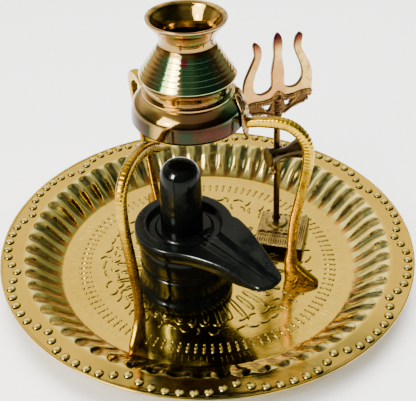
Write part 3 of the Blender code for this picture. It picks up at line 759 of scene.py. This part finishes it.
# Pot
CONE = [(0.117, 1.19), (0.1185, 1.183), (0.122, 1.1775)]
marks = [(k / 24, 0.0) for k in range(25)]
for g in (0.2, 0.36, 0.52, 0.68, 0.84):
    marks = [m for m in marks if abs(m[0] - g) > 0.016] + [(g - 0.01, 0.0), (g, 1.0), (g + 0.01, 0.0)]
for t, deep in sorted(marks):
    CONE.append((0.125 + 0.0835 * t - 0.001 * deep, 1.174 - 0.126 * t - 0.0007 * deep))
OUT = (spline([(0.1665, 1.2985), (0.17, 1.2965), (0.17, 1.29), (0.164, 1.279), (0.143, 1.254), (0.1255, 1.228),
               (0.1185, 1.205), (0.117, 1.195)], 6)
       + CONE
       + [(0.2097, 1.0455), (0.21, 1.043), (0.2092, 1.0405), (0.207, 1.0385), (0.201, 1.03), (0.1945, 1.006),
          (0.1915, 0.992), (0.19, 0.986), (0.189, 0.98), (0.188, 0.974), (0.1885, 0.97), (0.199, 0.968),
          (0.2005, 0.964), (0.2, 0.959)]
       + spline([(0.199, 0.956), (0.216, 0.945), (0.239, 0.921), (0.249, 0.89), (0.254, 0.85), (0.2525, 0.838),
                 (0.244, 0.828), (0.225, 0.82), (0.15, 0.815), (0.0, 0.814)], 5))
IN = (spline([(0.0, 0.8226), (0.15, 0.8236), (0.218, 0.829), (0.24, 0.842), (0.2445, 0.855), (0.2405, 0.885),
              (0.23, 0.916), (0.206, 0.94), (0.18, 0.96), (0.18, 0.99), (0.198, 1.04), (0.176, 1.08)], 4)
      + spline([(0.134, 1.142), (0.108, 1.185), (0.109, 1.21), (0.118, 1.238), (0.132, 1.262), (0.144, 1.28),
                (0.1485, 1.2895)], 6) + [(0.1515, 1.2925), (0.157, 1.2955), (0.162, 1.2978)])
dress("water_pot", lathe(OUT + IN, 160, True, POT), pot_mat, angle=30, node="kalash")

# Legs
LEG_PATH = [(0.262, 0.838), (0.312, 0.853), (0.352, 0.858), (0.391, 0.862), (0.429, 0.86), (0.461, 0.851),
            (0.491, 0.832), (0.518, 0.802), (0.534, 0.768), (0.541, 0.725), (0.54, 0.66), (0.529, 0.57),
            (0.514, 0.47), (0.498, 0.36), (0.493, 0.26), (0.493, 0.17)]
LEG_HOOF = [(0.463, 0.526, 0.115), (0.463, 0.556, 0.078), (0.463, 0.596, 0.048), (0.466, 0.63, 0.022),
            (0.468, 0.634, 0.0)]
LONG_PATH = [(-0.01, 0.803), (0.026, 0.824), (0.073, 0.855), (0.145, 0.883), (0.215, 0.896), (0.265, 0.897),
             (0.305, 0.888), (0.339, 0.87), (0.367, 0.842), (0.381, 0.805), (0.385, 0.755), (0.38, 0.68),
             (0.365, 0.58), (0.343, 0.47), (0.321, 0.35), (0.305, 0.25), (0.303, 0.17)]
LONG_HOOF = [(0.27, 0.336, 0.115), (0.268, 0.36, 0.078), (0.268, 0.39, 0.048), (0.27, 0.414, 0.022),
             (0.272, 0.418, 0.0)]
SIDES = 28


def section(a, b):
    out = []
    for k in range(SIDES):
        t = math.tau * k / SIDES
        c, s = math.cos(t), math.sin(t)
        out.append((math.copysign(abs(c) ** 0.62, c) * a, math.copysign(abs(s) ** 0.62, s) * b))
    return out


def leg(name, node, path, hoof, start, az, lean=0.0):
    ca, sa = math.cos(math.radians(az)), math.sin(math.radians(az))

    def world(rho, across, z):
        across += lean * max(0.0, 0.85 - z)
        return ((start[0] + rho * ca - across * sa) * R, (start[1] + rho * sa + across * ca) * R, STAND + z * R)

    fine = spline(path, 12)
    half = 0.0193
    verts = []
    run = 0.0
    n = len(fine)
    rows = 0
    for i, (rho, z) in enumerate(fine):
        r0, z0 = fine[max(0, i - 1)]
        r1, z1 = fine[min(n - 1, i + 1)]
        size = math.hypot(r1 - r0, z1 - z0)
        run += size / 2
        nr, nz = -(z1 - z0) / size, (r1 - r0) / size
        u = i / 12.0
        deep = 0.0262 - 0.0045 * min(1.0, max(0.0, (u - 7) / 8))
        if u < 3:
            deep = 0.02 + 0.0021 * u
        if u < 1:
            nr, nz = nr * u, nz * u + (1 - u)
            size = math.hypot(nr, nz)
            nr, nz = nr / size, nz / size
        wide = half * (1.12 - 0.12 * min(1.0, max(0.0, (u - 7) / 2)))
        scale = 0.5 + 0.5 * math.sin(run * math.tau / 0.0165)
        fade = min(1.0, u) * min(1.0, max(0.0, (14.6 - u) / 2))
        for a, b in section(deep, wide):
            on_back = max(0.0, a / deep)
            bite = 0.0022 * scale * on_back * fade
            side = 0.001 * scale * (1.0 - on_back) * fade * (1.0 if a > -0.5 * deep else 0.0)
            a -= bite
            b -= math.copysign(side, b)
            verts.append(world(rho + nr * a, b, z + nz * a))
        rows += 1
    hoof_rows = spline([(fine[-1][0] - 0.0225, fine[-1][0] + 0.0225, fine[-1][1])] + hoof, 5)[1:]
    for r0, r1, z in hoof_rows:
        mid, h = (r0 + r1) / 2, (r1 - r0) / 2
        flare = 1.0 + 0.12 * min(1.0, max(0.0, (0.12 - z) / 0.1))
        verts += [world(mid + a, b, z) for a, b in section(h, half * flare)]
        rows += 1
    faces = grid_faces(rows, SIDES)
    faces.append(tuple(range(SIDES)))
    faces.append(tuple(range((rows - 1) * SIDES, rows * SIDES)))
    piece(name, verts, faces, front_leg_shaded_mat if node == "leg_front_left" else leg_mat, angle=50, node=node)


def on_pot(radius, az):
    return (POT[0] + radius * math.cos(math.radians(az)), POT[1] + radius * math.sin(math.radians(az)))


def hood(name, az):
    rows = spline([(0.968, 0.008, 0.209), (0.945, 0.026, 0.226), (0.918, 0.04, 0.247), (0.88, 0.048, 0.2555),
                   (0.845, 0.047, 0.258), (0.815, 0.038, 0.258), (0.79, 0.022, 0.2575), (0.768, 0.005, 0.257)], 8)
    cols = 21
    verts = []
    for z, half, base in rows:
        for side in (1, 0):
            for j in range(cols):
                u = -1.0 + 2.0 * j / (cols - 1)
                ang = math.radians(az) + u * half / 0.25
                rib = 0.0016 * math.cos(u * 15.0) * (1 - abs(u)) - 0.0012 * math.cos((z * 260.0) + 9.0 * abs(u))
                r = base + 0.0012 if side == 0 else base + 0.0045 + 0.0075 * (1 - u * u) ** 0.6 + rib
                if side == 0:
                    j = cols - 1 - j
                    ang = math.radians(az) - u * half / 0.25
                verts.append(((POT[0] + r * math.cos(ang)) * R, (POT[1] + r * math.sin(ang)) * R, STAND + z * R))
    faces = grid_faces(len(rows), cols * 2)
    faces.append(tuple(range(cols * 2)))
    faces.append(tuple(range((len(rows) - 1) * cols * 2, len(rows) * cols * 2)))
    piece(name, verts, faces, hood_mat, angle=45)


bend = [(r - 0.257, z) for r, z in LEG_PATH]
foot_rows = [(r0 - 0.257, r1 - 0.257, z) for r0, r1, z in LEG_HOOF]
leg("leg_right_look", "leg_right", LEG_PATH, LEG_HOOF, POT, -18.0)
leg("leg_back_look", "leg_back", [(r * 0.93, z) for r, z in bend], [(a * 0.93, b * 0.93, z) for a, b, z in foot_rows],
    on_pot(0.257, 135.0), 114.0, lean=-0.106)
leg("leg_front_look", "leg_front_left", LONG_PATH, LONG_HOOF, on_pot(0.257, -121.0), -109.0)
hood("hood_right", -18.0)
hood("hood_back", 135.0)

# Trident
upright = (Matrix.Translation((FOOT[0] * R, FOOT[1] * R, STAND)) @ Matrix.Rotation(math.radians(24), 4, "Z")
           @ Matrix.Rotation(math.radians(-2.1), 4, "Y"))
HALF = [(0.0, 1.123), (0.007, 1.119), (0.018, 1.096), (0.0215, 1.06), (0.019, 1.015), (0.025, 0.975), (0.0315, 0.93),
        (0.0315, 0.872), (0.04, 0.853), (0.061, 0.841), (0.087, 0.839), (0.11, 0.85), (0.1245, 0.875),
        (0.1255, 0.905), (0.118, 0.938), (0.105, 0.972), (0.091, 1.005), (0.083, 1.035), (0.084, 1.06),
        (0.092, 1.085), (0.112, 1.101), (0.1235, 1.086), (0.119, 1.058), (0.1175, 1.034), (0.13, 1.004),
        (0.15, 0.966), (0.169, 0.925), (0.1775, 0.88), (0.179, 0.835), (0.176, 0.798), (0.16, 0.788),
        (0.157, 0.76), (0.128, 0.738), (0.06, 0.722), (0.03, 0.708), (0.0, 0.704)]
right_side = spline(HALF, 5)
loop = right_side + [(-h, w) for h, w in reversed(right_side[1:-1])]
curve = bpy.data.curves.new("head", "CURVE")
curve.dimensions = "2D"
curve.fill_mode = "BOTH"
curve.extrude = 0.0014 - 0.0005
curve.bevel_depth = 0.0005
curve.bevel_resolution = 2
eyes = [[(s * h, w) for h, w in spline([(0.034, 0.78), (0.06, 0.783), (0.084, 0.777), (0.072, 0.755), (0.05, 0.744),
                                        (0.038, 0.757), (0.034, 0.78)], 4)[:-1]] for s in (-1, 1)]
for pts in [loop] + eyes:
    sp = curve.splines.new("POLY")
    sp.points.add(len(pts) - 1)
    for p, (h, w) in zip(sp.points, pts):
        p.co = (h * R, w * R, 0.0, 1.0)
    sp.use_cyclic_u = True
curve.offset = -0.0005
holder = bpy.data.objects.new("head_curve", curve)
bpy.context.scene.collection.objects.link(holder)
graph = bpy.context.evaluated_depsgraph_get()
mesh = bpy.data.meshes.new_from_object(holder.evaluated_get(graph))
bpy.data.objects.remove(holder, do_unlink=True)
bpy.data.curves.remove(curve)
mesh.transform(upright @ Matrix.Rotation(math.radians(90), 4, "X"))
dress("trident_head", mesh, trident_mat, angle=40, node="trident")
ROD = [(0.0, 0.812), (0.012, 0.811), (0.019, 0.804), (0.021, 0.796), (0.0235, 0.79), (0.0235, 0.783), (0.0205, 0.779),
       (0.0205, 0.768), (0.0235, 0.764), (0.0235, 0.757), (0.0205, 0.753), (0.0205, 0.742), (0.0235, 0.738),
       (0.0235, 0.73), (0.0205, 0.726), (0.0205, 0.712), (0.024, 0.708), (0.024, 0.7), (0.016, 0.694),
       (0.0157, 0.4), (0.0157, 0.106), (0.0157, 0.0685),
       (0.0, 0.0685)]
dress("trident_shaft", lathe(ROD, 28, False, matrix=upright), trident_mat, angle=40)
nut = bpy.data.meshes.new("nut")
bm = bmesh.new()
bmesh.ops.create_cone(bm, cap_ends=True, segments=6, radius1=0.0032, radius2=0.0032, depth=0.0026,
                      matrix=upright @ Matrix.Translation((0, 0, 0.0895 * R)))
bmesh.ops.bevel(bm, geom=bm.edges[:], offset=0.00025, segments=2, affect="EDGES")
bm.to_mesh(nut)
bm.free()
dress("trident_nut", nut, drum_mat, angle=30)

parts = []
band = spline([(-0.172, 0.8), (-0.13, 0.806), (-0.075, 0.801), (-0.038, 0.804), (-0.018, 0.82), (0.0, 0.832),
               (0.018, 0.82), (0.038, 0.804), (0.075, 0.801), (0.13, 0.806), (0.172, 0.8)], 4)
for face in (-1, 1):
    y = face * 0.0014
    pts = [(h * R, y, w * R) for h, w in band]
    parts.append(tube(pts, 0.00085, 8))
    for h, w in band:
        slant = Matrix.Translation((h * R, y * 1.25, (w - 0.013) * R)) @ Matrix.Rotation(math.radians(28), 4, "Y")
        parts.append(ball((0, 0, 0), (0.00075, 0.0007, 0.0021), slant, 8, 5))
    for side in (-1, 1):
        for h, w, size in ((0.166, 0.778, 0.0017), (0.15, 0.758, 0.0016), (0.158, 0.793, 0.0013),
                           (0.131, 0.748, 0.0014)):
            parts.append(ball((side * h * R, y, w * R), (size, size * 0.8, size), None, 10, 6))
        strut = [(side * h * R, y, w * R) for h, w in ((0.14, 0.748), (0.1, 0.745), (0.06, 0.73), (0.028, 0.712))]
        parts.append(tube(strut, 0.001, 8))
        strut = [(side * h * R, y, w * R) for h, w in ((0.1, 0.783), (0.088, 0.768), (0.066, 0.748))]
        parts.append(tube(strut, 0.0008, 8))
    turns = [math.tau * k / 14 for k in range(15)]
    ring = [(0.011 * R * math.cos(a), y * 1.9, 0.806 * R + 0.009 * R * math.sin(a)) for a in turns]
    parts.append(tube(ring, 0.00045, 6))
verts, faces = join(parts)
verts = [tuple(upright @ Vector(v)) for v in verts]
piece("trident_ornament", verts, faces, relief_mat, angle=60)

# Drum, cord and knotted ball
HALF_DRUM = spline([(0.046, 0.088), (0.049, 0.086), (0.0495, 0.08), (0.0455, 0.074), (0.044, 0.066), (0.038, 0.05),
                    (0.0315, 0.032), (0.028, 0.016), (0.0275, 0.0)], 5)
drum = ([(0.0, 0.087), (0.038, 0.0865)] + HALF_DRUM + [(r, -z) for r, z in reversed(HALF_DRUM[:-1])]
        + [(0.038, -0.0865), (0.0, -0.087)])
place = (upright @ Matrix.Translation((0.012 * R, -(0.0022 + 0.029 * R + 0.0003), 0.512 * R))
         @ Matrix.Rotation(math.radians(90), 4, "Y"))
dress("drum", lathe(drum, 48, False, matrix=place), drum_mat, angle=40, node="damaru")
parts = []
for z in (-0.006, 0.0, 0.006):
    loop = []
    for k in range(25):
        a = math.tau * k / 24
        loop.append((0.004 * R + (0.0031 + 0.0003) * math.cos(a), -0.0022 + 0.0056 * math.sin(a), (0.512 + z) * R))
    parts.append(tube(loop, 0.00042, 6, caps=False))
drop = spline([(-0.03, -0.036, 0.512), (-0.045, -0.052, 0.49), (-0.052, -0.056, 0.462), (-0.054, -0.055, 0.44)], 6)
parts.append(tube([(a * R, b * R, c * R) for a, b, c in drop], 0.00042, 6))
lash = spline([(-0.03, -0.062, 0.48), (0.0, -0.06, 0.474), (0.04, -0.058, 0.482), (0.082, -0.05, 0.474)], 6)
parts.append(tube([(a * R, b * R, c * R) for a, b, c in lash], 0.00055, 6))
verts, faces = join(parts)
piece("drum_cord", [tuple(upright @ Vector(v)) for v in verts], faces, cord_mat, angle=60)
parts = [ball((-0.054 * R, -0.055 * R, 0.427 * R), (0.0021, 0.0021, 0.0019), None, 14, 9)]
parts.append(ball((0.084 * R, -0.05 * R, 0.472 * R), (0.0052, 0.0011, 0.0011), None, 12, 8))
verts, faces = join(parts)
piece("drum_knots", [tuple(upright @ Vector(v)) for v in verts], faces, cord_mat, angle=60)

# Slab: the CAD block with carved rows on its top
slab = frame["nodes"]["trident_plinth"]
for place in slab.material_slots:
    place.material = slab_mat
slab_x = Vector((math.cos(SLAB_TURN), math.sin(SLAB_TURN)))
slab_y = Vector((-math.sin(SLAB_TURN), math.cos(SLAB_TURN)))
corner = Vector((0.471 * R, -0.004 * R)) - slab_x * SLAB_L


def on_slab(x, y, h):
    # x, y in metres from the slab's front-left corner, along its front and back from it
    p = corner + slab_x * x + slab_y * y
    return (p.x, p.y, STAND + SLAB_H + h)


carve = Relief(on_slab)
x = 0.002
while x < 0.029:
    carve.ridge([(x, 0.0012), (x, 0.005), (x, 0.008)], 0.00055, 0.0008)
    carve.dot(x, 0.0098, 0.0006, 0.0007)
    x += 0.00165
carve.ridge([(0.0012, 0.0111), (0.0296, 0.0111)], 0.0004, 0.0006)
for k in range(5):
    cx = 0.004 + 0.0056 * k
    for rad in (0.0026, 0.0016):
        arc = [(cx + rad * math.cos(a), 0.0122 + rad * math.sin(a)) for a in [math.pi * j / 8 for j in range(9)]]
        carve.ridge(arc, 0.00038, 0.0007)
    for j in range(3):
        a = math.radians(50 + 40 * j)
        carve.ridge([(cx + 0.0006 * math.cos(a), 0.0124 + 0.0006 * math.sin(a)),
                     (cx + 0.0034 * math.cos(a), 0.0124 + 0.0034 * math.sin(a))], 0.00035, 0.0006)
for k in range(20):
    a = math.tau * k / 20
    carve.dot(0.0171 + 0.0108 * math.cos(a), 0.0268 + 0.0094 * math.sin(a), 0.0008, 0.0008)
for xx in (0.03, 0.0312, 0.0326):
    carve.ridge([(xx, 0.0014), (xx, 0.02), (xx, 0.0366)], 0.0004, 0.0006)
carve.make("slab_carving", relief_mat)

# Floor, light and camera
bm = bmesh.new()
bmesh.ops.create_grid(bm, x_segments=1, y_segments=1, size=4.0)
mesh = bpy.data.meshes.new("floor")
bm.to_mesh(mesh)
bm.free()
floor = bpy.data.objects.new("floor", mesh)
floor.location = (0, 0, -0.0002)
bpy.context.scene.collection.objects.link(floor)
m = Nodes("floor_white")
m.bsdf.inputs["Base Color"].default_value = (0.93, 0.93, 0.92, 1.0)
m.bsdf.inputs["Roughness"].default_value = 0.8
mesh.materials.append(m.mat)

world = bpy.data.worlds.new("studio")
bpy.context.scene.world = world
world.use_nodes = True
tree = world.node_tree
back = tree.nodes["Background"]
tex = tree.nodes.new("ShaderNodeTexCoord")
sep = tree.nodes.new("ShaderNodeSeparateXYZ")
tree.links.new(tex.outputs["Generated"], sep.inputs[0])


def from_minus_one(axis):
    # direction's part along an axis, -1 to 1, as 0 to 1
    node = tree.nodes.new("ShaderNodeMapRange")
    node.inputs["From Min"].default_value = -1.0
    tree.links.new(sep.outputs[axis], node.inputs["Value"])
    return node.outputs["Result"]


def blend(a, b, kind="MULTIPLY"):
    node = tree.nodes.new("ShaderNodeMix")
    node.data_type = "RGBA"
    node.blend_type = kind
    node.inputs["Factor"].default_value = 1.0
    tree.links.new(a, node.inputs["A"])
    tree.links.new(b, node.inputs["B"])
    return node.outputs["Result"]


# a bright backdrop behind the set that fades to dim surroundings in front
height = color_ramp(tree, sep.outputs["Z"], [(0.0, (0.36, 0.34, 0.28)), (0.2, (0.45, 0.42, 0.36)),
                                             (0.36, (1.0, 0.97, 0.9)),
                                 (0.78, (1.0, 0.98, 0.93)), (0.9, (0.45, 0.45, 0.43)), (1.0, (0.35, 0.35, 0.34))])
depth = color_ramp(tree, from_minus_one("Y"), [(0.0, (0.06, 0.065, 0.055)), (0.35, (0.085, 0.09, 0.075)),
                                               (0.55, (0.22, 0.21, 0.18)),
                               (0.68, (0.8, 0.77, 0.7)), (0.78, (1.0, 0.97, 0.9)), (1.0, (1.0, 0.97, 0.9))])
wide = color_ramp(tree, from_minus_one("X"), [(0.0, (0.85, 0.82, 0.74)), (0.3, (1.0, 1.0, 1.0)),
                                              (0.58, (1.0, 1.0, 1.0)),
                                (0.72, (0.3, 0.33, 0.28)), (1.0, (0.14, 0.17, 0.14))])
ceiling = color_ramp(tree, sep.outputs["Z"], [(0.0, (0.0, 0.0, 0.0)), (0.7, (0.0, 0.0, 0.0)),
                                              (0.8, (0.2, 0.19, 0.165)),
                                  (0.9, (0.2, 0.19, 0.165)), (1.0, (0.1, 0.1, 0.09))])
tree.links.new(blend(blend(blend(height, depth), wide), ceiling, "ADD"), back.inputs["Color"])
back.inputs["Strength"].default_value = 1.9


def area(name, loc, target, size, power, color=(1, 1, 1), mirrored=True):
    light = bpy.data.lights.new(name, "AREA")
    light.shape = "RECTANGLE"
    light.size, light.size_y = size
    light.energy = power
    light.color = color
    obj = bpy.data.objects.new(name, light)
    obj.location = loc
    obj.rotation_euler = (Vector(target) - Vector(loc)).to_track_quat("-Z", "Y").to_euler()
    obj.visible_glossy = mirrored
    bpy.context.scene.collection.objects.link(obj)
    return obj


area("window", (-0.66, -0.6, 0.66), (0, 0, 0.05), (0.58, 0.9), 17.0, (1.0, 0.97, 0.9))
area("pane", (-0.6, -0.62, 0.6), (0, 0, 0.05), (0.2, 0.34), 4.0, (1.0, 0.98, 0.94))
glint = area("glint", (-0.62, -0.62, 0.58), (0, 0, 0.05), (0.22, 0.42), 110.0)
glint.visible_diffuse = False
stones = bpy.data.collections.new("stones")
for name in ("lingam_pedestal", "lingam_basin", "lingam_head"):
    stones.objects.link(bpy.data.objects[name])
glint.light_linking.receiver_collection = stones
area("side", (1.1, 0.1, 0.75), (0, 0, 0.05), (0.5, 0.5), 9.0, mirrored=False)
area("top", (0.0, 0.25, 1.7), (0, 0, 0.0), (1.2, 1.2), 95.0, mirrored=False)

tilt, roll, focal = math.radians(36.52), math.radians(-0.827), 811.0
forward = Vector((0, math.cos(tilt), -math.sin(tilt)))
level = Vector((1, 0, 0))
upward = Vector((0, math.sin(tilt), math.cos(tilt)))
c, s = math.cos(roll), math.sin(roll)
cam_x = level * c + upward * s
cam_y = upward * c - level * s
eye = (Vector((0.007, 0, 0.363)) - forward * 3.849) * R + Vector((0, 0, FLOOR))
data = bpy.data.cameras.new("photo_camera")
data.sensor_width = SENSOR
data.lens = focal / PICTURE_WIDTH * SENSOR
data.clip_start = 0.01
camera = bpy.data.objects.new("photo_camera", data)
camera.matrix_world = Matrix(((cam_x.x, cam_y.x, -forward.x, eye.x), (cam_x.y, cam_y.y, -forward.y, eye.y),
                              (cam_x.z, cam_y.z, -forward.z, eye.z), (0, 0, 0, 1)))
bpy.context.scene.collection.objects.link(camera)
bpy.context.scene.camera = camera
